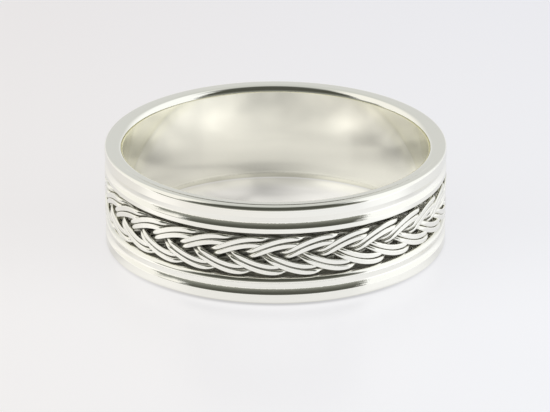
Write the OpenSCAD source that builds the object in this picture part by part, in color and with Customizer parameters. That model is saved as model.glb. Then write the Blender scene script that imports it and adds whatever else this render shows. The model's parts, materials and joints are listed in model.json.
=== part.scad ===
// A polished finger ring with a flat plait of wires laid in a channel round its outside.
// The ring lies on its edge: +Z is the axis of the finger hole and z = 0 is the flat lower face.

/* [Band] */
// Diameter of the finger hole
hole_d = 19.4; // [15:0.1:22]
// Thickness of the band's wall
wall_t = 1.15; // [1.1:0.05:1.6]
// Width of the band along the finger
band_w = 6.6; // [6.2:0.1:8]
// Rounding of the two outer edges
outer_edge_r = 0.35; // [0.1:0.05:0.4]
// Rounding of the two edges of the finger hole
hole_edge_r = 0.3; // [0.1:0.05:0.4]

/* [Channel and grooves] */
// Width of the channel that holds the plait
channel_w = 2.94; // [2.9:0.02:3.2]
// Depth of the channel
channel_depth = 0.86; // [0.84:0.01:0.95]
// Rounding of the channel's two rims
rim_r = 0.2; // [0.05:0.05:0.25]
// Width of the rail between the channel and each groove
thin_rail_w = 0.34; // [0.3:0.02:0.5]
// Width of each shallow groove
groove_w = 0.66; // [0.4:0.02:0.7]
// Depth of each shallow groove
groove_depth = 0.13; // [0.05:0.01:0.2]

/* [Plait] */
// Thickness of one wire
wire_d = 0.32; // [0.2:0.01:0.32]
// How far a strand swings to each side of the plait's middle
swing = 0.89; // [0.86:0.01:0.92]
// How far a strand rises and sinks as it passes over and under
rise = 0.27; // [0.27:0.005:0.275]
// How gently a strand changes between over and under
ease = 0.5; // [0.4:0.05:0.6]
// How far the plait's tops stand out past the rails
proud = 0.03; // [0:0.01:0.05]
// How far the plait's middle lies below the band's middle
drop = 0.06; // [0:0.01:0.1]
// Where the first strand crosses the middle, in degrees from the front
first_crossing = 3.7; // [0:0.1:12]

/* [Hidden] */
strands = 5;
// Waves that each strand makes on its way round.
waves = 6;
hole_r = hole_d / 2;
outer_r = hole_r + wall_t;
mid_z = band_w / 2;
arc_steps = 8;
wire_r = wire_d / 2;
// Radius of a strand's centre line halfway between over and under.
plait_r = outer_r + proud - rise - wire_r;
plait_z = mid_z - drop;
// Sections along one strand, the same number in every wave.
sections = 25 * waves;
groove_z = channel_w / 2 + thin_rail_w + groove_w / 2;
// Radius of the circle whose shallow arc makes a groove.
groove_r = (groove_w * groove_w / 4 + groove_depth * groove_depth) / (2 * groove_depth);
groove_half_angle = asin(groove_w / 2 / groove_r);

// Points on an arc about c, from angle a0 to angle a1.
function arc(c, r, a0, a1) = [for (i = [0 : arc_steps])
    let (a = a0 + (a1 - a0) * i / arc_steps) [c[0] + r * cos(a), c[1] + r * sin(a)]];

// Outside of the upper half of the wall, from the middle of the channel to the hole's edge,
// as distance from the axis and height above the middle.
function upper_half() = concat(
    [[outer_r - channel_depth, 0], [outer_r - channel_depth, channel_w / 2]],
    arc([outer_r - rim_r, channel_w / 2 + rim_r], rim_r, -90, 0),
    arc([outer_r - groove_depth + groove_r, groove_z], groove_r,
        180 + groove_half_angle, 180 - groove_half_angle),
    arc([outer_r - outer_edge_r, mid_z - outer_edge_r], outer_edge_r, 0, 90),
    arc([hole_r + hole_edge_r, mid_z - hole_edge_r], hole_edge_r, 90, 180)
);

function mirrored(points) = [for (i = [len(points) - 1 : -1 : 1]) [points[i][0], -points[i][1]]];

// The band is one turned solid.
module band() {
    color("gainsboro")
        translate([0, 0, mid_z])
            rotate_extrude($fn = 180)
                polygon(concat(upper_half(), mirrored(upper_half())));
}

// 1 where a strand lies on top, -1 where it passes underneath, with an eased change between.
function over_under(u) = let (s = sin(2 * u)) s * sqrt((1 + ease * ease) / (s * s + ease * ease));

// Centre line of a strand at the angle a from the front, where lead is its first crossing.
function strand_point(a, lead) = let (
    u = waves * (a - lead),
    r = plait_r + rise * over_under(u)
) [r * sin(a), -r * cos(a), plait_z + swing * sin(u)];

function unit(v) = v / norm(v);

// Outline of two wires side by side with six sides each, joined along the line between them.
// x runs across the strand and y outwards.
pair_outline = concat(
    [for (a = [-90 : 60 : 90]) [wire_r + wire_r * cos(a), wire_r * sin(a)]],
    [[0, wire_r / 2]],
    [for (a = [90 : 60 : 270]) [-wire_r + wire_r * cos(a), wire_r * sin(a)]],
    [[0, -wire_r / 2]]
);

// One section of a strand: the outline set square to the centre line.
function section(a, lead) = let (
    p = strand_point(a, lead),
    along = unit(strand_point(a + 0.05, lead) - strand_point(a - 0.05, lead)),
    across = unit(cross(along, [sin(a), -cos(a), 0])),
    out = cross(across, along)
) [for (q = pair_outline) p + q[0] * across + q[1] * out];

// A closed loop of one strand.
module strand(number) {
    lead = first_crossing + (number - 1) * 360 / waves / strands;
    n = len(pair_outline);
    points = [for (i = [0 : sections - 1]) each section(i * 360 / sections, lead)];
    faces = [for (i = [0 : sections - 1], j = [0 : n - 1], half = [0, 1])
        let (
            i2 = (i + 1) % sections,
            j2 = (j + 1) % n
        ) half == 0 ? [i * n + j, i2 * n + j2, i2 * n + j] : [i * n + j, i * n + j2, i2 * n + j2]];
    color("silver") polyhedron(points = points, faces = faces);
}

module strand_1() { strand(1); }
module strand_2() { strand(2); }
module strand_3() { strand(3); }
module strand_4() { strand(4); }
module strand_5() { strand(5); }

band();
strand_1();
strand_2();
strand_3();
strand_4();
strand_5();
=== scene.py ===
import json
import math
from functools import reduce

import bmesh
import bpy
import numpy as np
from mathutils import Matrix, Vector, kdtree


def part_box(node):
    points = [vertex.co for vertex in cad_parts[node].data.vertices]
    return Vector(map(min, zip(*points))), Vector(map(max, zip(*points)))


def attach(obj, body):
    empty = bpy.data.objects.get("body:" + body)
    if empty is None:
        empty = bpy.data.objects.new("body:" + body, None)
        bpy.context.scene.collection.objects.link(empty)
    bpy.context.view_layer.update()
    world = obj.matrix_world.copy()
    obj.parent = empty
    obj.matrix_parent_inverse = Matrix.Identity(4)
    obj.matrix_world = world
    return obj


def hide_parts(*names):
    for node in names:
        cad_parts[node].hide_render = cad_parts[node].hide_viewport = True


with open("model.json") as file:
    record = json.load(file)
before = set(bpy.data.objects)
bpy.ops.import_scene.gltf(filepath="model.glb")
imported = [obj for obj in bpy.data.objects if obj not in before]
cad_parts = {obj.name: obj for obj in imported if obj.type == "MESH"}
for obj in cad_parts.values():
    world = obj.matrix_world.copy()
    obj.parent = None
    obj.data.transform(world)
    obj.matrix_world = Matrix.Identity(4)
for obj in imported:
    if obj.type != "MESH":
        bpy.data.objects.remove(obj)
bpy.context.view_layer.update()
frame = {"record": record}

bl_info = {
    "name": "Braided band ring",
    "version": (1, 0, 0),
    "blender": (4, 5, 0),
    "location": "View3D > Sidebar > Ring",
    "description": "A polished band with a flat plait of silver wires in a blackened channel",
    "category": "Object",
}

MM = 0.001
BAND_LOW, BAND_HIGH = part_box("band")
HOLE = next(m for m in frame["record"]["mounts"] if m["name"] == "finger_hole")

# The plait's strands, and how often each swings to and fro round the ring
STRANDS = 5
WAVES = 6

# Outline of the band
RAIL_MARGIN = 0.015 * MM  # how far inside a rail's ends the points lie that keep its shading flat
FINE_LINE = 0.012 * MM  # width of the border of the dark line along the turned step
HOLE_LINE = 0.05 * MM  # half the width of the dark line along the hole's lower edge
GROOVE_SHARPNESS = 1.4  # 1 would be a plain V and 2 a round trough
WALL_STEPS = 8  # steps up the channel's wall
RIM_STEPS = 12
GROOVE_STEPS = 24
EDGE_STEPS = 14
CROWN_STEPS = 6
HOLE_STEPS = 6  # steps up half of the hole's wall
SHARP_ANGLE = math.radians(32)  # faces that meet at more than this are shaded with a sharp edge
WEAR_ENDS = (math.radians(34), math.radians(62))  # angles from the front where the wear dies out
LINE_ENDS = (math.radians(54), math.radians(70))  # the same for the dark line along the step

# Black in the recesses, where 1 is the channel's floor
GROOVE_STAIN = 0.24
# how black the line along the hole's lower edge is
HOLE_LINE_BLACK = 0.38
RIM_BRIGHT = 0.15 * MM  # depth under the rails down to which the channel's rim is bright
RIM_BORDER = 0.13 * MM  # depth over which it then turns black
PROBES = ((0.07 * MM, 0.3), (0.16 * MM, 0.4), (0.3 * MM, 0.3))  # reach out from a wire, and weight
PROBE_SHARE = 0.95  # how much all the probes count
SUNK_DEPTHS = [depth * MM for depth in (0.1, 0.2, 0.32, 0.45)]  # under the plait's top
SUNK_BLACK = (0, 0.7, 0.78, 1)  # how black a wire is at these depths
# On the left and right the black is lighter, partly uneven wear of the oxide and partly painted light for the
# brighter reflections there
SIDE_WEAR_AND_LIGHT_ENDS = [math.radians(angle) for angle in (36, 72, 105, 140)]  # angles from the front
SIDE_WEAR_AND_LIGHT = 0.55  # how much of the band's black is missing between the middle two of them: partly uneven wear of the oxide, partly painted light
SIDE_WEAR_AND_LIGHT_WIRES = 0.22  # the same for the wires
FLAT_SOFTNESS = 0.011 * MM  # how softly the polished tops of the wires bend into their sides

# Finish of the silver
MARK_HEIGHT = 0.02 * MM  # height of a mark of 1
SCRATCH_DEPTH = 0.02  # hairlines and specks, as a share of that
RECESS_PITS = 1.2  # how much deeper the pits are in a recess
HOLE_DULLNESS = 0.45  # how much the hole's satin wall counts as marked
MARK_ROUGHNESS = 0.12
BLACK_ROUGHNESS = 0.24
BLACK_LESS_METAL = 0.12

# The paper, its colours, and the light and shade painted into them
FLOOR_RADIUS = 1.5  # in metres
# Painted light: the paper is warmer on the left and cooler on the right, like the room's warm left and cool
# right screens
LEFT_LIGHT_ON_PAPER = (0.918, 0.895, 0.867)
RIGHT_LIGHT_ON_PAPER = (0.945, 0.96, 0.985)
RING_SHADE_TINT = (0.92, 0.915, 0.915)  # painted shade that comes in between the ring's front and its back half
BACK_SHADE_TINT = (0.925, 0.92, 0.935)  # more painted shade that comes in from there to far behind the ring
# Painted light inside the ring: the paper is brighter and warmer, and close to the wall warmer and a little
# dimmer
INSIDE_WARM_LIGHT = (1.06, 1.045, 0.965)
NEAR_WALL_WARM_LIGHT = (0.985, 0.985, 0.93)  # painted, inside, close to the wall
PAPER_ROUGHNESS = 0.3

# Soft round patches of light on the paper: x, y and reach in millimetres, and how much a patch
# adds at its middle. The ring's wall throws these on the paper inside it. The first reaches so
# far that it dims them all evenly.
WALL_LIGHT = (
    (0.0, 0.0, 200.0, -0.155),
    (-4.8, 2.3, 3.2, 0.29),
    (5.8, 1.4, 8.0, 0.30),
    (4.6, 1.8, 2.6, 0.12),
    (-4.2, 2.4, 2.0, 0.08),
    (4.6, 8.2, 2.6, 0.14),
    (0.3, 9.7, 4.0, -0.25),
    (-4.4, 9.4, 3.0, -0.12),
    (-2.2, 6.4, 3.4, -0.04),
    (-2.9, 5.7, 1.9, -0.15),
    (-3.4, -0.6, 4.0, -0.06),
    (-8.2, 4.6, 4.2, 0.15),
    (8.4, 4.4, 4.4, 0.16),
    (2.2, 6.2, 1.9, 0.13),
    (-7.6, -1.4, 3.0, -0.12),
    (8.0, -2.2, 3.0, -0.10),
    (3.0, -2.6, 3.2, -0.08),
    (-0.8, 7.6, 2.2, -0.14),
    (2.8, 8.5, 2.2, 0.12),
    (0.0, -7.5, 9.0, -0.2),
)
# These lie outside it, and only the silver mirrors them.
MIRRORED_LIGHT = (
    (0.0, -15.0, 9.0, -0.085),
    (-11.6, -3.0, 2.8, -0.13),
    (11.6, -3.0, 2.8, -0.06),
    (-20.0, -8.0, 8.0, 0.11),
    (20.0, -8.0, 8.0, 0.06),
)
# This one lies in front of the ring.
FRONT_LIGHT = ((0.0, -15.5, 9.0, 0.045),)
RIPPLES = 0.05  # how much the light on the paper inside the ring ripples
EYE_LOSS = 0.5  # share of the wall's light that the eye does not see, short of the hole's back
EYE_GAIN = 0.07  # how much brighter the eye sees the paper inside the ring
MIRROR_LOSS = 0.07  # how much dimmer the silver mirrors the paper outside it, but for the front
FOOT_SHADE = 0.12  # how much darker the paper is under the ring
CONTACT_SHADE = 0.22  # and in the narrow line along its outside
BACK_CONTACT = 0.2  # share of that line that is left at the back

# The room that the silver mirrors. Screens have the azimuths over which they begin and end and
# the heights over which they fade, in degrees.
ROOM_WALLS = (0.675, 0.68, 0.672)
ROOM_UPPER = (0.63, 0.64, 0.62)
ROOM_STRIP = (0.80, 0.805, 0.80)  # low down
DARK_LOW = (0.34, 0.345, 0.31)
DARK_HIGH = (0.075, 0.077, 0.064)
DARK_HEART = (0.12, -0.70, 0.70)  # direction of the middle of the dark ceiling
JAGS = 5.0  # how far the sides of the dark gap are ragged, in degrees
SCREENS = (
    {"first": (58.0, 64.0), "last": (118.0, 154.0), "top": (58.0, 76.0), "colour": (1.05, 1.06, 1.07)},
    {"first": (-154.0, -116.0), "last": (-70.0, -62.0), "top": (58.0, 76.0), "colour": (0.98, 0.96, 0.92)},
)
EVEN_LIGHT = (1.0, 1.0, 1.01)  # what lights all that is not a mirror
MIRROR_BOUNCES = 12  # enough for light that runs to and fro inside the polished hole


class BandSettings(bpy.types.PropertyGroup):
    """Sizes of the turned band, which stands on z = 0 with its axis along z."""

    outer_radius: bpy.props.FloatProperty(
        name="Outer radius", description="From the axis to the rails",
        default=BAND_HIGH[0], unit="LENGTH", subtype="DISTANCE", precision=5)
    hole_radius: bpy.props.FloatProperty(
        name="Hole radius", description="From the axis to the wall of the finger hole",
        default=HOLE["dims"]["r_mm"] * MM, unit="LENGTH", subtype="DISTANCE", precision=5)
    width: bpy.props.FloatProperty(
        name="Width", description="Along the finger",
        default=BAND_HIGH[2] - BAND_LOW[2], unit="LENGTH", subtype="DISTANCE", precision=5)
    outer_edge: bpy.props.FloatProperty(
        name="Outer edge rounding", description="Radius of the two outer edges at the front",
        default=0.31 * MM, unit="LENGTH", subtype="DISTANCE", precision=5)
    crown: bpy.props.FloatProperty(
        name="Crown", description="Radius with which the flat ends begin to bend into the outer edges",
        default=0.75 * MM, unit="LENGTH", subtype="DISTANCE", precision=5)
    step: bpy.props.FloatProperty(
        name="Step", description="Height of the fine turned step between the flat ends and their crowns",
        default=0.03 * MM, unit="LENGTH", subtype="DISTANCE", precision=6)
    back_edge: bpy.props.FloatProperty(
        name="Outer edge rounding at the back", description="The outer edges are less worn there",
        default=0.18 * MM, unit="LENGTH", subtype="DISTANCE", precision=5)
    back_crown: bpy.props.FloatProperty(
        name="Crown at the back", description="The crown is wider there",
        default=1.2 * MM, unit="LENGTH", subtype="DISTANCE", precision=5)
    back_step: bpy.props.FloatProperty(
        name="Step at the back", description="The turned step is lower there",
        default=0.01 * MM, unit="LENGTH", subtype="DISTANCE", precision=6)
    crown_angle: bpy.props.FloatProperty(
        name="Crown angle", description="How far the crown bends before the outer edge takes over",
        default=math.radians(12), unit="ROTATION", subtype="ANGLE")
    hole_edge: bpy.props.FloatProperty(
        name="Hole edge rounding", description="Radius of the two edges of the finger hole",
        default=0.46 * MM, unit="LENGTH", subtype="DISTANCE", precision=5)
    channel_width: bpy.props.FloatProperty(
        name="Channel width", description="Between the walls of the channel",
        default=2.90 * MM, unit="LENGTH", subtype="DISTANCE", precision=5)
    channel_depth: bpy.props.FloatProperty(
        name="Channel depth", description="From the rails to the channel's floor",
        default=0.86 * MM, unit="LENGTH", subtype="DISTANCE", precision=5)
    upper_rim: bpy.props.FloatProperty(
        name="Upper rim rounding", description="Radius of the channel's upper rim",
        default=0.13 * MM, unit="LENGTH", subtype="DISTANCE", precision=5)
    lower_rim: bpy.props.FloatProperty(
        name="Lower rim rounding", description="Radius of the channel's lower rim, which is polished rounder",
        default=0.34 * MM, unit="LENGTH", subtype="DISTANCE", precision=5)
    thin_rail: bpy.props.FloatProperty(
        name="Thin rail width", description="Between the channel and each groove",
        default=0.36 * MM, unit="LENGTH", subtype="DISTANCE", precision=5)
    groove_width: bpy.props.FloatProperty(
        name="Groove width", description="Width of each shallow groove",
        default=0.76 * MM, unit="LENGTH", subtype="DISTANCE", precision=5)
    groove_depth: bpy.props.FloatProperty(
        name="Groove depth", description="Depth of each shallow groove",
        default=0.15 * MM, unit="LENGTH", subtype="DISTANCE", precision=5)
    silver: bpy.props.FloatVectorProperty(
        name="Silver", description="Colour of the polished silver",
        subtype="COLOR", size=3, min=0, max=1, default=(0.945, 0.94, 0.875))
    oxide: bpy.props.FloatVectorProperty(
        name="Oxide", description="Colour of the blackened silver in the recesses",
        subtype="COLOR", size=3, min=0, max=1, default=(0.56, 0.553, 0.5))


class PlaitSettings(bpy.types.PropertyGroup):
    """Sizes of the flat plait, five strands of two round wires each."""

    wire: bpy.props.FloatProperty(
        name="Wire diameter", description="Thickness of one round wire",
        default=0.338 * MM, unit="LENGTH", subtype="DISTANCE", precision=6)
    pair_gap: bpy.props.FloatProperty(
        name="Pair gap", description="Least gap between the two wires of a strand",
        default=0.002 * MM, unit="LENGTH", subtype="DISTANCE", precision=6)
    fan: bpy.props.FloatProperty(
        name="Fan", description="How much further the two wires part where a strand turns at the edge",
        default=0.06 * MM, unit="LENGTH", subtype="DISTANCE", precision=6)
    swing: bpy.props.FloatProperty(
        name="Swing", description="How far a strand swings to each side of the middle",
        default=0.915 * MM, unit="LENGTH", subtype="DISTANCE", precision=5)
    rise: bpy.props.FloatProperty(
        name="Rise", description="How far a strand rises and sinks as it passes over and under",
        default=0.27 * MM, unit="LENGTH", subtype="DISTANCE", precision=5)
    ease: bpy.props.FloatProperty(
        name="Ease", description="How gently a strand changes between over and under",
        default=0.5, min=0.1, max=1)
    hold: bpy.props.FloatProperty(
        name="Hold", description="How long a strand stays up as it turns at the edge",
        default=0.65, min=0, max=1)
    worn: bpy.props.FloatProperty(
        name="Worn", description="How much polishing has taken off the tops of the wires",
        default=0.066 * MM, unit="LENGTH", subtype="DISTANCE", precision=6)
    proud: bpy.props.FloatProperty(
        name="Proud", description="How far the plait's tops stand out past the rails",
        default=0.02 * MM, unit="LENGTH", subtype="DISTANCE", precision=6)
    drop: bpy.props.FloatProperty(
        name="Drop", description="How far the plait's middle lies below the band's middle",
        default=0.005 * MM, unit="LENGTH", subtype="DISTANCE", precision=6)
    first_crossing: bpy.props.FloatProperty(
        name="First crossing", description="Where the first strand crosses the middle, from the front",
        default=math.radians(2.8), unit="ROTATION", subtype="ANGLE")
    unevenness: bpy.props.FloatProperty(
        name="Unevenness", description="How far the hand-laid wires wander",
        default=0.012 * MM, unit="LENGTH", subtype="DISTANCE", precision=6)


class StudioSettings(bpy.types.PropertyGroup):
    """The plain pale floor, the soft light and the camera."""

    floor: bpy.props.FloatVectorProperty(
        name="Floor", description="Colour of the floor",
        subtype="COLOR", size=3, min=0, max=1, default=(0.9, 0.895, 0.905))
    shade_share: bpy.props.FloatProperty(
        name="Shade", description="How much of the paper's light the ring can shade",
        default=0.15, min=0, max=1)
    sheen: bpy.props.FloatProperty(
        name="Sheen", description="How much of the paper's light is a sheen from the room",
        default=0.02, min=0, max=1)
    mirror_gain: bpy.props.FloatProperty(
        name="Mirror gain", description="How much brighter the silver mirrors the paper in front of the ring",
        default=0.075, min=0, max=1)
    daylight: bpy.props.FloatProperty(
        name="Daylight", description="Strength of the even light from all round",
        default=1.0, min=0)
    elevation: bpy.props.FloatProperty(
        name="Camera elevation", description="How far above the ring's middle the camera looks from",
        default=math.radians(22.48), unit="ROTATION", subtype="ANGLE")
    distance: bpy.props.FloatProperty(
        name="Camera distance", description="From the camera to the middle of the ring",
        default=250 * MM, unit="LENGTH", subtype="DISTANCE")
    focal_length: bpy.props.FloatProperty(
        name="Focal length", description="Of the camera's lens, in millimetres",
        default=256.7, min=10)
    aim_below: bpy.props.FloatProperty(
        name="Aim below", description="How far under the ring's middle the camera aims",
        default=1.085 * MM, unit="LENGTH", subtype="DISTANCE", precision=5)
    aim_left: bpy.props.FloatProperty(
        name="Aim left", description="How far left of the ring's middle the camera stands and aims",
        default=0.035 * MM, unit="LENGTH", subtype="DISTANCE", precision=6)


# Shader helpers

def new_node(tree, kind, **values):
    """Adds a node, sets its properties and, by socket name or number, its inputs."""
    node = tree.nodes.new(kind)
    for key, value in values.items():
        if key == "inputs":
            for socket, given in value.items():
                if isinstance(given, bpy.types.NodeSocket):
                    tree.links.new(given, node.inputs[socket])
                else:
                    node.inputs[socket].default_value = given
        else:
            setattr(node, key, value)
    return node


def math_node(tree, operation, first, second=0.0):
    """One Math node; returns its output."""
    return new_node(tree, "ShaderNodeMath", operation=operation,
                    inputs={0: first, 1: second}).outputs[0]


def plus(tree, *values):
    """The sum of several values."""
    return reduce(lambda first, second: math_node(tree, "ADD", first, second), values)


def minus(tree, first, second):
    """The first value less the second."""
    return math_node(tree, "SUBTRACT", first, second)


def times(tree, *values):
    """The product of several values."""
    return reduce(lambda first, second: math_node(tree, "MULTIPLY", first, second), values)


def ramp(tree, value, low, high, start=0.0, end=1.0):
    """start below low, end above high and a smooth change between."""
    return new_node(tree, "ShaderNodeMapRange", interpolation_type="SMOOTHSTEP",
                    inputs={"Value": value, "From Min": low, "From Max": high,
                            "To Min": start, "To Max": end}).outputs["Result"]


def between(tree, value, low, high, soft):
    """1 between low and high, 0 outside, with borders that are soft wide."""
    return times(tree, ramp(tree, value, low - soft / 2, low + soft / 2),
                 ramp(tree, value, high - soft / 2, high + soft / 2, 1.0, 0.0))


def mix(tree, mask, first, second, blend="MIX"):
    """The first colour where the mask is 0, and where it is 1 the second, or the two multiplied.
    A colour is a node's output or three numbers."""
    first, second = (colour if isinstance(colour, bpy.types.NodeSocket) else (*colour, 1)
                     for colour in (first, second))
    return new_node(tree, "ShaderNodeMix", data_type="RGBA", blend_type=blend,
                    inputs={0: mask, 6: first, 7: second}).outputs[2]


def noise(tree, place, scale, detail, roughness, distortion=0.0):
    """Soft noise in space, from 0 to 1."""
    return new_node(tree, "ShaderNodeTexNoise", inputs={
        "Vector": place, "Scale": scale, "Detail": detail, "Roughness": roughness,
        "Distortion": distortion}).outputs[0]


def place_in_mm(tree):
    """Object coordinates in millimetres."""
    place = new_node(tree, "ShaderNodeTexCoord").outputs["Object"]
    return new_node(tree, "ShaderNodeVectorMath", operation="SCALE",
                    inputs={0: place, "Scale": 1 / MM}).outputs[0]


def parts_of(tree, place):
    """The x, y and z of a place and its distance from the ring's axis."""
    x, y, z = new_node(tree, "ShaderNodeSeparateXYZ", inputs={0: place}).outputs
    return x, y, z, math_node(tree, "SQRT", plus(tree, times(tree, x, x), times(tree, y, y)))


def group_tree(name, sockets_in, sockets_out):
    """An empty node group with its sockets, and its input and output nodes."""
    tree = bpy.data.node_groups.new(name, "ShaderNodeTree")
    for label, kind, default in sockets_in:
        socket = tree.interface.new_socket(name=label, in_out="INPUT", socket_type=kind)
        socket.default_value = default
    for label, kind in sockets_out:
        tree.interface.new_socket(name=label, in_out="OUTPUT", socket_type=kind)
    return tree, tree.nodes.new("NodeGroupInput"), tree.nodes.new("NodeGroupOutput")


def placed_group(tree, name, build, inputs):
    """A node group, built once and placed in each material with its own values."""
    group = bpy.data.node_groups.get(name) or build()
    return new_node(tree, "ShaderNodeGroup", node_tree=group, inputs=inputs).outputs


# Silver

def polish_marks_group():
    """Faint marks that polishing leaves: soft waves in the surface, hairlines that run round the
    ring, small specks, and fine pits that are deeper where polishing did not reach. Gives a
    normal and how dull the surface is, which counts the satin wall of the finger hole too."""
    tree, given, out = group_tree(
        "Polish marks",
        [("Hairlines", "NodeSocketFloat", 0.5), ("Waves", "NodeSocketFloat", 0.5),
         ("Specks", "NodeSocketFloat", 0.5), ("Wave size", "NodeSocketFloat", 2.0),
         ("Grain", "NodeSocketFloat", 0.0), ("Depth", "NodeSocketFloat", 0.0),
         ("Hole radius", "NodeSocketFloat", 9.0)],
        [("Normal", "NodeSocketVector"), ("Marks", "NodeSocketFloat")])
    hairlines, waves, specks, wave_size, grain, depth, hole_radius = given.outputs[:7]
    place = place_in_mm(tree)
    x, y, z, radius = parts_of(tree, place)
    # Hairlines are noise that changes fast across the band and slowly along it.
    along, across = 0.35, 26.0
    stretched = new_node(tree, "ShaderNodeCombineXYZ", inputs={
        0: times(tree, x, along), 1: times(tree, y, along),
        2: plus(tree, times(tree, z, across), times(tree, radius, across))}).outputs[0]
    hairline = ramp(tree, noise(tree, stretched, scale=1.0, detail=3.0, roughness=0.7), 0.58, 0.75)
    wave = noise(tree, place, scale=math_node(tree, "DIVIDE", 1.0, wave_size), detail=1.0, roughness=0.4)
    cells = new_node(tree, "ShaderNodeTexVoronoi", feature="F1", inputs={
        "Vector": place, "Scale": 1.6, "Randomness": 1.0}).outputs["Distance"]
    speck = ramp(tree, cells, 0.05, 0.09, 1.0, 0.0)
    pits = noise(tree, place, scale=5.0, detail=3.0, roughness=0.7)
    scratches = plus(tree, times(tree, hairline, hairlines), times(tree, speck, specks))
    height = plus(tree, times(tree, wave, waves), times(tree, scratches, -SCRATCH_DEPTH),
                  times(tree, pits, plus(tree, grain, times(tree, depth, RECESS_PITS))))
    bump = new_node(tree, "ShaderNodeBump", inputs={
        "Height": height, "Strength": 1.0, "Distance": MARK_HEIGHT}).outputs["Normal"]
    satin = ramp(tree, minus(tree, radius, hole_radius), 0.02, 0.12, 1.0, 0.0)
    tree.links.new(bump, out.inputs["Normal"])
    tree.links.new(plus(tree, scratches, times(tree, satin, HOLE_DULLNESS)), out.inputs["Marks"])
    return tree


def recess_stain_group():
    """The black that stays in recesses after the tops are polished. The mesh says how deep in a
    recess each point lies, and noise breaks up the border between black and bright."""
    tree, given, out = group_tree(
        "Recess stain",
        [("Silver", "NodeSocketColor", (0.9, 0.9, 0.9, 1)), ("Oxide", "NodeSocketColor", (0, 0, 0, 1)),
         ("Depth", "NodeSocketFloat", 0.0), ("Start", "NodeSocketFloat", 0.35),
         ("End", "NodeSocketFloat", 0.8), ("Raggedness", "NodeSocketFloat", 0.15)],
        [("Colour", "NodeSocketColor"), ("Metallic", "NodeSocketFloat"),
         ("Roughness", "NodeSocketFloat")])
    silver, oxide, depth, start, end, raggedness = given.outputs[:6]
    blots = noise(tree, place_in_mm(tree), scale=9.0, detail=3.0, roughness=0.6)
    ragged = times(tree, minus(tree, blots, 0.5), raggedness)
    stain = ramp(tree, plus(tree, depth, ragged), start, end)
    tree.links.new(mix(tree, stain, silver, oxide), out.inputs["Colour"])
    tree.links.new(minus(tree, 1.0, times(tree, stain, BLACK_LESS_METAL)), out.inputs["Metallic"])
    tree.links.new(times(tree, stain, BLACK_ROUGHNESS), out.inputs["Roughness"])
    return tree


def silver_material(name, settings, roughness, stain, marks):
    """Silver that is bright on top and black in its recesses."""
    material = bpy.data.materials.new(name)
    material.use_nodes = True
    tree = material.node_tree
    shader = tree.nodes["Principled BSDF"]
    depth = new_node(tree, "ShaderNodeAttribute", attribute_name="recess").outputs["Fac"]
    recess = placed_group(tree, "Recess stain", recess_stain_group, {
        "Silver": (*settings.silver, 1), "Oxide": (*settings.oxide, 1), "Depth": depth, **stain})
    polish = placed_group(tree, "Polish marks", polish_marks_group, {
        "Depth": depth, "Hole radius": settings.hole_radius / MM, **marks})
    rough = plus(tree, roughness, recess["Roughness"], times(tree, polish["Marks"], MARK_ROUGHNESS))
    tree.links.new(recess["Colour"], shader.inputs["Base Color"])
    tree.links.new(recess["Metallic"], shader.inputs["Metallic"])
    tree.links.new(rough, shader.inputs["Roughness"])
    tree.links.new(polish["Normal"], shader.inputs["Normal"])
    return material


# Paper

def light_patches(tree, place, rows):
    """Soft round patches of the paper that are brighter or dimmer, added up."""
    patches = []
    for x, y, reach, gain in rows:
        away = new_node(tree, "ShaderNodeVectorMath", operation="DISTANCE",
                        inputs={0: place, 1: (x, y, 0)}).outputs["Value"]
        patches.append(ramp(tree, away, 0.0, reach, gain, 0.0))
    return plus(tree, *patches)


def paper_colour_and_light(tree, settings, x, y, inside, by_wall):
    """The paper's colour with painted light and shade in it: warmer light on the left than on the right, a
    painted shade a little darker towards the back, and warm painted light inside the ring, most of all by its
    wall."""
    colour = mix(tree, ramp(tree, x, -28.0, 22.0), LEFT_LIGHT_ON_PAPER, RIGHT_LIGHT_ON_PAPER)
    for mask, tint in ((1.0, settings.floor), (ramp(tree, y, -14.0, 6.0), RING_SHADE_TINT),
                       (ramp(tree, y, 6.0, 60.0), BACK_SHADE_TINT), (inside, INSIDE_WARM_LIGHT),
                       (by_wall, NEAR_WALL_WARM_LIGHT)):
        colour = mix(tree, mask, colour, tint, "MULTIPLY")
    return colour


def paper_light(tree, settings, place, y, inside):
    """How bright the paper is lit through. The ring's polished wall throws bright and dim patches
    on the paper inside it, which the silver mirrors more strongly than the eye sees them, and the
    silver mirrors more patches outside it. Light Path tells the two apart."""
    glossy = new_node(tree, "ShaderNodeLightPath").outputs["Is Glossy Ray"]
    seen = minus(tree, 1.0, glossy)
    ripples = noise(tree, place, scale=0.34, detail=1.5, roughness=0.4, distortion=0.6)
    thrown = plus(tree, light_patches(tree, place, WALL_LIGHT),
                  ramp(tree, ripples, 0.36, 0.66, -RIPPLES, RIPPLES))
    calm = times(tree, seen, ramp(tree, y, 3.5, 6.5, EYE_LOSS, 0.0))
    mirrored = plus(tree, light_patches(tree, place, MIRRORED_LIGHT),
                    ramp(tree, y, -8.0, -2.0, settings.mirror_gain, -MIRROR_LOSS))
    return plus(tree, times(tree, thrown, inside, minus(tree, 1.0, calm)),
                times(tree, mirrored, glossy, minus(tree, 1.0, inside)),
                times(tree, inside, seen, EYE_GAIN),
                light_patches(tree, place, FRONT_LIGHT),
                1.0 - settings.shade_share - settings.sheen)


def paper_shade(tree, y, radius, hole, outer):
    """How much the ring darkens the paper: softly under it, and more in a narrow line where its
    outside meets the paper, most of all in front."""
    foot = times(tree, ramp(tree, radius, hole - 0.25, hole + 0.35, 0.0, FOOT_SHADE),
                 ramp(tree, radius, outer - 0.3, outer + 0.2, 1.0, 0.0))
    contact = times(tree, ramp(tree, radius, outer - 0.9, outer - 0.4, 0.0, CONTACT_SHADE),
                    ramp(tree, radius, outer - 0.2, outer + 0.1, 1.0, 0.0),
                    ramp(tree, y, -outer, -outer / 2, 1.0, BACK_CONTACT))
    return plus(tree, foot, contact)


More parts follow.
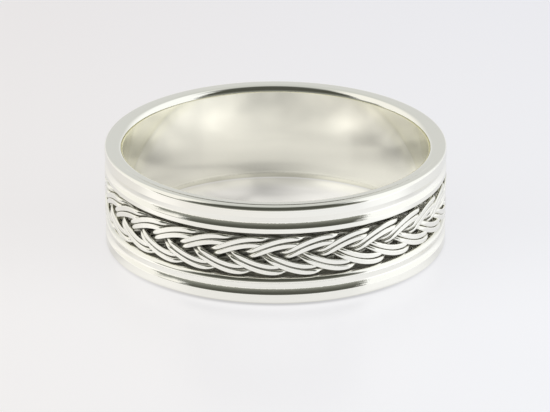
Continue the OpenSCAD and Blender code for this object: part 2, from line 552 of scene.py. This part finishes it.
def floor_material(settings, band):
    """Pale paper with a slight sheen whose light is mostly painted in as a glow, as if lit through from
    below, so the ring hardly shades it except where it stands."""
    material = bpy.data.materials.new("Pale paper")
    material.use_nodes = True
    tree = material.node_tree
    shader = tree.nodes["Principled BSDF"]
    place = place_in_mm(tree)
    x, y, _, radius = parts_of(tree, place)
    hole, outer = band.hole_radius / MM, band.outer_radius / MM
    inside = ramp(tree, radius, hole, hole + 0.6, 1.0, 0.0)
    by_wall = times(tree, inside, ramp(tree, radius, hole - 1.8, hole - 0.2))
    # The glow is painted light: the paper's colour times painted patches of light and the ring's painted
    # shade
    glow = times(tree, paper_light(tree, settings, place, y, inside),
                 minus(tree, 1.0, paper_shade(tree, y, radius, hole, outer)))
    emission = mix(tree, 1.0, paper_colour_and_light(tree, settings, x, y, inside, by_wall), glow, "MULTIPLY")
    tree.links.new(emission, shader.inputs["Emission Color"])
    shader.inputs["Emission Strength"].default_value = 1.0
    shader.inputs["Base Color"].default_value = (*[c * settings.shade_share for c in settings.floor], 1)
    shader.inputs["Roughness"].default_value = PAPER_ROUGHNESS
    return material


# Shape of the band

def arc(centre, radius, start, end, steps):
    """Points on an arc, with angles in degrees."""
    angles = np.radians(np.linspace(start, end, steps + 1))
    return [(centre[0] + radius * math.cos(a), centre[1] + radius * math.sin(a)) for a in angles]


def straight(start, end, steps):
    """Points between two points, without the two."""
    return [tuple(np.add(start, np.subtract(end, start) * i / steps)) for i in range(1, steps)]


def rail_ends(outer, low, high):
    """Points just inside the two ends of a flat rail, which keep the shading flat between them."""
    return [(outer, low + RAIL_MARGIN), (outer, high - RAIL_MARGIN)]


def outer_corner(outer, half, edge, crown, crown_angle):
    """The rounding between a rail and the flat end, with a wide crown where it meets the end."""
    bend = 90 - math.degrees(crown_angle)
    foot = half - edge * math.sin(math.radians(bend)) - crown * (1 - math.sin(math.radians(bend)))
    corner = arc((outer - edge, foot), edge, 0, bend, EDGE_STEPS)
    reach = (crown - edge) * math.cos(math.radians(bend))
    return corner[:-1] + arc((outer - edge - reach, half - crown), crown, bend, 90, CROWN_STEPS)


def half_profile(band, rim, worn, hole_line_black):
    """Outline of the upper half of the wall, from the middle of the channel's floor to the middle
    of the finger hole's wall. Each point has its distance from the axis, its height above the
    middle and how much it lies in a recess, from 0 to 1. The outer edge is the worn one at the
    front or the one at the back."""
    outer, half, hole = band.outer_radius, band.width / 2, band.hole_radius
    floor = outer - band.channel_depth
    wall = band.channel_width / 2
    groove = wall + band.thin_rail
    outline = []

    def trace(points, recess=0.0):
        outline.extend((r, z, recess) for r, z in points)

    trace([(floor, 0.0), (floor, wall)] + straight((floor, wall), (outer - rim, wall), WALL_STEPS), 1.0)
    for r, z in arc((outer - rim, wall + rim), rim, -90, 0, RIM_STEPS):
        trace([(r, z)], min(1.0, max(0.0, (outer - RIM_BRIGHT - r) / RIM_BORDER)))
    trace(rail_ends(outer, wall + rim, groove))
    for s in np.linspace(0, 1, GROOVE_STEPS + 1):
        sunk = 1 - abs(2 * s - 1) ** GROOVE_SHARPNESS
        trace([(outer - band.groove_depth * sunk, groove + band.groove_width * s)], GROOVE_STAIN * sunk)
    edge, crown, step = ((band.outer_edge, band.crown, band.step) if worn
                         else (band.back_edge, band.back_crown, band.back_step))
    corner = outer_corner(outer, half - step, edge, crown, band.crown_angle)
    trace(rail_ends(outer, groove + band.groove_width, corner[0][1]) + corner[:-1])
    end = corner[-1][0]
    trace([(end + FINE_LINE, half - step)])
    trace([(end, half - step), (end, half)], 1.0 if worn else 0.0)
    trace([(end - FINE_LINE, half)])
    trace(arc((hole + band.hole_edge, half - band.hole_edge), band.hole_edge, 90, 180, EDGE_STEPS)[:-2])
    bend = half - band.hole_edge
    trace([(hole, bend + HOLE_LINE), (hole, bend), (hole, bend - HOLE_LINE)], hole_line_black)
    start = (hole, bend - 3 * HOLE_LINE)
    trace([start] + straight(start, (hole, 0.0), HOLE_STEPS) + [(hole, 0.0)])
    return outline


def band_profile(band, worn):
    """The whole outline of the wall, closed, with its recesses as a third column."""
    upper = half_profile(band, band.upper_rim, worn, 0.0)
    lower = half_profile(band, band.lower_rim, worn, HOLE_LINE_BLACK)
    return np.array(upper + [(r, -z, recess) for r, z, recess in reversed(lower[1:-1])])


def smooth_step(value, low, high):
    """0 below low, 1 above high and a smooth change between."""
    share = min(1.0, max(0.0, (value - low) / (high - low)))
    return share * share * (3 - 2 * share)


def on_the_sides(aside):
    """1 on the left and right sides of the ring, 0 in front and behind, where aside is the angle
    from the front."""
    return np.interp(aside, SIDE_WEAR_AND_LIGHT_ENDS, (0, 1, 1, 0))


def turned_band(band, segments=480):
    """Mesh of the band, turned about the z axis. Its outer edges are worn rounder at the front, and its black
    is thinner on its left and right, partly as uneven wear of the oxide and partly as painted light."""
    front, back = band_profile(band, True), band_profile(band, False)
    mesh = bpy.data.meshes.new("turned_band")
    shape = bmesh.new()
    layer = shape.verts.layers.float.new("recess")
    rings = []
    for i in range(segments):
        angle = 2 * math.pi * i / segments
        sine, cosine = math.sin(angle), math.cos(angle)
        aside = min(angle, 2 * math.pi - angle)
        shift = smooth_step(aside, *WEAR_ENDS)
        fade = smooth_step(aside, *LINE_ENDS)
        profile = front + (back - front) * np.array([shift, shift, fade])
        # Lighter black on the sides: partly worn oxide, partly painted light
        profile[:, 2] *= 1 - SIDE_WEAR_AND_LIGHT * on_the_sides(aside)
        ring = []
        for r, z, recess in profile.tolist():
            vertex = shape.verts.new((r * sine, -r * cosine, z + band.width / 2))
            vertex[layer] = recess
            ring.append(vertex)
        rings.append(ring)
    count = len(front)
    for i in range(segments):
        here, there = rings[i], rings[(i + 1) % segments]
        for j in range(count):
            k = (j + 1) % count
            shape.faces.new((here[j], there[j], there[k], here[k]))
    bmesh.ops.recalc_face_normals(shape, faces=shape.faces)
    for face in shape.faces:
        face.smooth = True
    shape.to_mesh(mesh)
    shape.free()
    mesh.set_sharp_from_angle(angle=SHARP_ANGLE)
    return mesh


# Shape of the plait

def over_under(u, ease, hold):
    """1 where a strand lies on top, -1 where it passes underneath."""
    wave = np.sin(2 * u) + hold * np.sin(u) ** 2
    return wave * np.sqrt((1 + ease ** 2) / (wave ** 2 + ease ** 2))


def strand_line(band, plait, number, angles):
    """Centre line of one strand, with the directions across and out of it at each point. Two slow
    waves, different for each strand, make it wander."""
    lead = plait.first_crossing + number * 2 * math.pi / WAVES / STRANDS
    plait_radius = band.outer_radius + plait.proud + plait.worn - plait.rise - plait.wire / 2
    middle = band.width / 2 - plait.drop

    def points(a):
        u = WAVES * (a - lead)
        wander = plait.unevenness * (np.sin(3 * a + 2.1 * number) + 0.6 * np.sin(7 * a + 1.3 * number))
        r = plait_radius + plait.rise * over_under(u, plait.ease, plait.hold)
        return np.stack([r * np.sin(a), -r * np.cos(a), middle + plait.swing * np.sin(u) + wander], -1)

    step = 0.001
    along = points(angles + step) - points(angles - step)
    along /= np.linalg.norm(along, axis=1, keepdims=True)
    outward = np.stack([np.sin(angles), -np.cos(angles), np.zeros_like(angles)], -1)
    across = np.cross(along, outward)
    across /= np.linalg.norm(across, axis=1, keepdims=True)
    return points(angles), across, np.cross(across, along)


def wire_lines(band, plait, number, angles):
    """Centre lines of the two wires of a strand, which part a little unevenly and fan out where
    the strand turns."""
    centre, across, out = strand_line(band, plait, number, angles)
    u = WAVES * (angles - plait.first_crossing) - number * 2 * math.pi / STRANDS
    spread = 0.3 * plait.unevenness * (1 + np.sin(5 * angles + 1.7 * number)) + plait.fan * np.sin(u) ** 4
    apart = ((plait.wire + plait.pair_gap + spread) / 2)[:, None]
    return [(centre + side * apart * across, across, out) for side in (-1, 1)]


def plait_lines(band, plait, count=1500):
    """Points along every wire of the plait, for finding how close wires lie."""
    angles = np.linspace(0, 2 * math.pi, count, endpoint=False)
    return np.concatenate([line for number in range(STRANDS)
                           for line, *_ in wire_lines(band, plait, number, angles)])


def recess_of_wires(band, plait, tree, points, normals):
    """How enclosed each point of a wire is, from 0 in the open to 1 deep between the wires."""
    radius = plait.wire / 2
    floor = band.outer_radius - band.channel_depth
    enclosed = np.zeros(len(points))
    for reach, weight in PROBES:
        probes = points + normals * reach
        free = np.array([tree.find(p)[2] for p in probes.tolist()]) - radius
        free = np.minimum(free, np.hypot(probes[:, 0], probes[:, 1]) - floor)
        enclosed += weight * np.clip(1 - free / reach, 0, 1)
    below = band.outer_radius + plait.proud - np.hypot(points[:, 0], points[:, 1])
    sunk = np.interp(below, SUNK_DEPTHS, SUNK_BLACK)
    # Lighter black on the sides: partly worn oxide, partly painted light
    thin = SIDE_WEAR_AND_LIGHT_WIRES * on_the_sides(np.abs(np.arctan2(points[:, 0], -points[:, 1])))
    return np.clip(enclosed * PROBE_SHARE + sunk, 0, 1) * (1 - thin)


def worn_flat(points, top):
    """The points with whatever stands out past the radius top polished down to it."""
    radius = np.hypot(points[..., 0], points[..., 1])
    worn = top - FLAT_SOFTNESS * np.logaddexp(0, (top - radius) / FLAT_SOFTNESS)
    return points * np.stack([worn / radius, worn / radius, np.ones_like(radius)], -1)


def strand_mesh(band, plait, tree, number, rings=600, sides=24):
    """Mesh of one strand: two round wires that lie side by side, each a closed loop whose top is
    polished flat."""
    top = band.outer_radius + plait.proud
    angles = np.linspace(0, 2 * math.pi, rings, endpoint=False)
    turn = np.linspace(0, 2 * math.pi, sides, endpoint=False)
    points, normals, faces = [], [], []
    for line, across, out in wire_lines(band, plait, number, angles):
        normal = (np.cos(turn)[None, :, None] * across[:, None, :]
                  + np.sin(turn)[None, :, None] * out[:, None, :])
        start = sum(len(p) for p in points)
        skin = line[:, None, :] + normal * plait.wire / 2
        points.append(worn_flat(skin, top).reshape(-1, 3))
        normals.append(normal.reshape(-1, 3))
        for i in range(rings):
            for j in range(sides):
                here, there = start + i * sides, start + (i + 1) % rings * sides
                k = (j + 1) % sides
                faces.append((here + j, here + k, there + k, there + j))
    points, normals = np.concatenate(points), np.concatenate(normals)
    mesh = bpy.data.meshes.new("strand")
    mesh.from_pydata(points.tolist(), [], faces)
    depth = mesh.attributes.new("recess", "FLOAT", "POINT")
    depth.data.foreach_set("value", recess_of_wires(band, plait, tree, points, normals))
    mesh.polygons.foreach_set("use_smooth", [True] * len(mesh.polygons))
    mesh.update()
    return mesh


def add_piece(name, mesh, material, node):
    """Puts a piece on the ring in place of a CAD node."""
    piece = bpy.data.objects.new(name, mesh)
    bpy.context.scene.collection.objects.link(piece)
    piece.data.materials.append(material)
    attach(piece, "root")
    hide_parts(node)


# Studio

def lay_floor(settings, band):
    """A wide round sheet of pale paper."""
    mesh = bpy.data.meshes.new("paper")
    shape = bmesh.new()
    bmesh.ops.create_circle(shape, cap_ends=True, segments=96, radius=FLOOR_RADIUS)
    shape.to_mesh(mesh)
    shape.free()
    floor = bpy.data.objects.new("paper_floor", mesh)
    bpy.context.scene.collection.objects.link(floor)
    mesh.materials.append(floor_material(settings, band))


def mirrored_room(tree):
    """What the polished silver mirrors: a light room that is paler low down, with a white screen
    on the left and on the right, a dark ceiling, and a dark gap with ragged sides in front of the
    ring, which reaches further left low down. Angles are in degrees, azimuth from the front
    towards the right."""
    degrees = 180 / math.pi
    direction = new_node(tree, "ShaderNodeTexCoord").outputs["Generated"]
    x, y, z = new_node(tree, "ShaderNodeSeparateXYZ", inputs={0: direction}).outputs
    azimuth = times(tree, math_node(tree, "ARCTAN2", x, times(tree, y, -1.0)), degrees)
    height = times(tree, math_node(tree, "ARCSINE", z), degrees)
    overhead = new_node(tree, "ShaderNodeVectorMath", operation="DOT_PRODUCT",
                        inputs={0: direction, 1: DARK_HEART}).outputs["Value"]
    from_heart = times(tree, math_node(tree, "ARCCOSINE", overhead), degrees)
    room = mix(tree, ramp(tree, height, 30.0, 55.0), ROOM_WALLS, ROOM_UPPER)
    room = mix(tree, ramp(tree, height, 1.0, 15.0, 1.0, 0.0), room, ROOM_STRIP)
    for screen in SCREENS:
        across = times(tree, ramp(tree, azimuth, *screen["first"]),
                       ramp(tree, azimuth, *screen["last"], 1.0, 0.0))
        up = ramp(tree, height, *screen["top"], 1.0, 0.0)
        room = mix(tree, times(tree, across, up), room, screen["colour"])
    dark = mix(tree, ramp(tree, height, -4.0, 30.0), DARK_LOW, DARK_HIGH)
    ceiling = times(tree, ramp(tree, from_heart, 34.0, 60.0, 1.0, 0.0), ramp(tree, height, 50.0, 66.0))
    jagged = new_node(tree, "ShaderNodeTexNoise", noise_dimensions="1D", inputs={
        "W": height, "Scale": 0.3, "Detail": 2.0, "Roughness": 0.7}).outputs[0]
    ragged = plus(tree, azimuth, ramp(tree, jagged, 0.3, 0.7, -JAGS, JAGS))
    gap = times(tree, between(tree, ragged, -64.0, 60.0, 4.0), ramp(tree, height, 58.0, 70.0, 1.0, 0.0))
    low_gap = times(tree, between(tree, ragged, -84.0, -60.0, 3.0), ramp(tree, height, 9.0, 18.0, 1.0, 0.0))
    for mask in (ceiling, gap, low_gap):
        room = mix(tree, mask, room, dark)
    return room


def light_room(scene, settings):
    """Even soft light from all round. Only what is glossy mirrors the room there, and past the
    paper the camera sees the floor's colour."""
    world = bpy.data.worlds.new("Soft room")
    scene.world = world
    world.use_nodes = True
    tree = world.node_tree
    tree.nodes.clear()
    rays = new_node(tree, "ShaderNodeLightPath").outputs
    in_silver = times(tree, rays["Is Glossy Ray"],
                      math_node(tree, "LESS_THAN", rays["Diffuse Depth"], 0.5))
    light = mix(tree, in_silver, [c * settings.daylight for c in EVEN_LIGHT], mirrored_room(tree))
    light = mix(tree, rays["Is Camera Ray"], light, [c * settings.daylight for c in settings.floor])
    background = new_node(tree, "ShaderNodeBackground", inputs={"Color": light, "Strength": 1.0})
    new_node(tree, "ShaderNodeOutputWorld", inputs={"Surface": background.outputs[0]})
    scene.view_settings.view_transform = "Standard"
    scene.cycles.glossy_bounces = MIRROR_BOUNCES


def place_camera(scene, settings, band):
    """Looks down on the front of the ring from the photograph's angle."""
    camera = bpy.data.objects.new("camera", bpy.data.cameras.new("camera"))
    scene.collection.objects.link(camera)
    camera.data.sensor_width = 36
    camera.data.lens = settings.focal_length
    camera.data.clip_start = 0.01
    camera.data.clip_end = 10
    rise, run = math.sin(settings.elevation), math.cos(settings.elevation)
    middle = Vector((-settings.aim_left, 0, band.width / 2))
    camera.location = middle + settings.distance * Vector((0, -run, rise))
    target = middle - settings.aim_below * Vector((0, rise, run))
    camera.rotation_euler = (target - camera.location).to_track_quat("-Z", "Y").to_euler()
    scene.camera = camera


# Operators and panel

class RING_OT_band(bpy.types.Operator):
    """Turns the polished band with its grooves and blackened channel"""

    bl_idname = "ring.band"
    bl_label = "Band"

    def execute(self, context):
        settings = context.scene.ring_band
        material = silver_material(
            "Polished silver", settings, roughness=0.035,
            stain={"Start": 0.3, "End": 0.7, "Raggedness": 0.25},
            marks={"Hairlines": 0.35, "Waves": 0.5, "Specks": 0.4, "Wave size": 2.4, "Grain": 0.0})
        add_piece("polished_band", turned_band(settings), material, "band")
        return {"FINISHED"}


class RING_OT_plait(bpy.types.Operator):
    """Lays the five strands of round wires in the channel"""

    bl_idname = "ring.plait"
    bl_label = "Plait"

    def execute(self, context):
        band, plait = context.scene.ring_band, context.scene.ring_plait
        lines = plait_lines(band, plait)
        tree = kdtree.KDTree(len(lines))
        for i, point in enumerate(lines.tolist()):
            tree.insert(point, i)
        tree.balance()
        material = silver_material(
            "Silver wire", band, roughness=0.07,
            stain={"Start": 0.62, "End": 0.95, "Raggedness": 0.15},
            marks={"Hairlines": 0.0, "Waves": 0.7, "Specks": 0.2, "Wave size": 0.8, "Grain": 0.12})
        for number in range(STRANDS):
            mesh = strand_mesh(band, plait, tree, number)
            label = number + 1
            add_piece(f"wire_pair_{label}", mesh, material, f"strand_{label}")
        return {"FINISHED"}


class RING_OT_studio(bpy.types.Operator):
    """Sets out the pale floor, the soft light and the camera"""

    bl_idname = "ring.studio"
    bl_label = "Studio"

    def execute(self, context):
        scene = context.scene
        lay_floor(scene.ring_studio, scene.ring_band)
        light_room(scene, scene.ring_studio)
        place_camera(scene, scene.ring_studio, scene.ring_band)
        return {"FINISHED"}


class RING_PT_sidebar(bpy.types.Panel):
    """Lists the pieces and their sizes"""

    bl_idname = "RING_PT_sidebar"
    bl_label = "Braided band ring"
    bl_space_type = "VIEW_3D"
    bl_region_type = "UI"
    bl_category = "Ring"

    def draw(self, context):
        for operator, settings in ((RING_OT_band, context.scene.ring_band),
                                   (RING_OT_plait, context.scene.ring_plait),
                                   (RING_OT_studio, context.scene.ring_studio)):
            box = self.layout.box()
            box.operator(operator.bl_idname)
            for key in settings.bl_rna.properties.keys():
                if key not in ("rna_type", "name"):
                    box.prop(settings, key)


CLASSES = (BandSettings, PlaitSettings, StudioSettings, RING_OT_band, RING_OT_plait, RING_OT_studio,
           RING_PT_sidebar)


def register():
    for cls in CLASSES:
        bpy.utils.register_class(cls)
    bpy.types.Scene.ring_band = bpy.props.PointerProperty(type=BandSettings)
    bpy.types.Scene.ring_plait = bpy.props.PointerProperty(type=PlaitSettings)
    bpy.types.Scene.ring_studio = bpy.props.PointerProperty(type=StudioSettings)


def unregister():
    del bpy.types.Scene.ring_studio
    del bpy.types.Scene.ring_plait
    del bpy.types.Scene.ring_band
    for cls in reversed(CLASSES):
        bpy.utils.unregister_class(cls)


def main():
    register()
    bpy.ops.ring.band()
    bpy.ops.ring.plait()
    bpy.ops.ring.studio()


if __name__ == "__main__":
    main()
